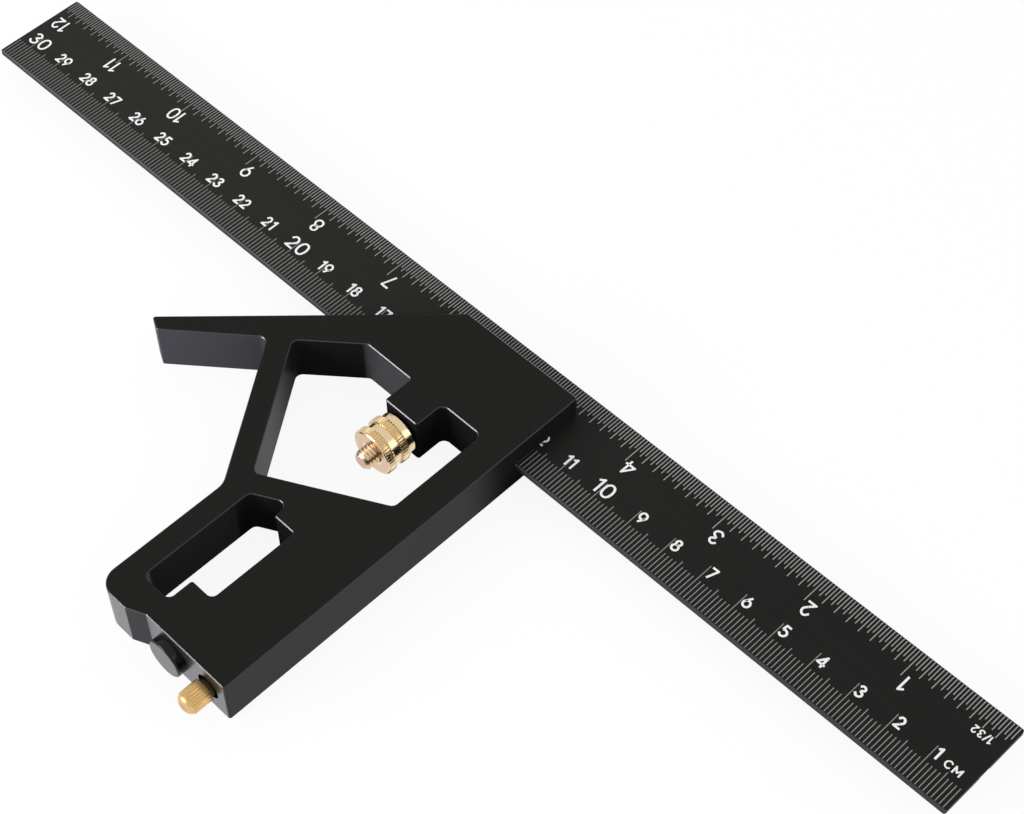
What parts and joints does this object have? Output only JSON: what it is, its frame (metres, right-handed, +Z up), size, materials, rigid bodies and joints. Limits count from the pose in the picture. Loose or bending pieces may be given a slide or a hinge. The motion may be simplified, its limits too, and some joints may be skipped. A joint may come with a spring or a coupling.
{
  "type": "combination square",
  "caption": "Sliding set square: flat black head with a 90 degree and a 45 degree face, clamped on a graduated steel rule by a knurled brass nut, with a stored scriber.",
  "frame": {"origin": "corner of the square: where the 90 degree face meets the rule's lower edge, on the head's underside", "axes": "+X along the rule towards its zero end and out of the 90 degree face, +Y across the rule from its lower edge to its upper edge, +Z up out of the graduated face"},
  "size_m": [0.3048, 0.1166, 0.013],
  "materials": {
    "head_black": "black anodised, satin, bright at the broken edges",
    "rule_black": "satin black with white graduations",
    "bolt_brass": "turned, bright",
    "spring_steel": "drawn wire",
    "brass": "turned and knurled, bright",
    "needle_steel": "ground, hardened",
    "sleeve_brass": "as drawn",
    "plug_black": "glossy side, satin face"
  },
  "bodies": {
    "head": {"head": "head_black", "scriber_sleeve": "sleeve_brass", "end_plug": "plug_black"},
    "rule": {"rule": "rule_black"},
    "clamp_bolt": {"clamp_bolt": "bolt_brass", "clamp_spring": "spring_steel"},
    "clamp_nut": {"clamp_nut": "brass"},
    "scriber": {"scriber_knob": "brass", "scriber_needle": "needle_steel"}
  },
  "joints": [
    {"name": "rule_slide", "type": "slide", "parent": "head", "child": "rule", "axis": [1, 0, 0], "range_m": [-0.1175, 0.132]},
    {"name": "nut_turn", "type": "hinge", "parent": "head", "child": "clamp_nut", "pos_m": [-0.02505, -0.015, 0.0065], "axis": [0, -1, 0], "range_deg": [0, 200]},
    {"name": "bolt_draw", "type": "slide", "parent": "head", "child": "clamp_bolt", "axis": [0, 1, 0], "range_m": [0, 0.0005], "deforming": ["clamp_spring"]},
    {"name": "scriber_slide", "type": "slide", "parent": "head", "child": "scriber", "axis": [0, -1, 0], "range_m": [0, 0.048]}
  ],
  "couplings": [
    {"joint": "nut_turn", "follows": "bolt_draw", "rad_per_m": 6981}
  ]
}
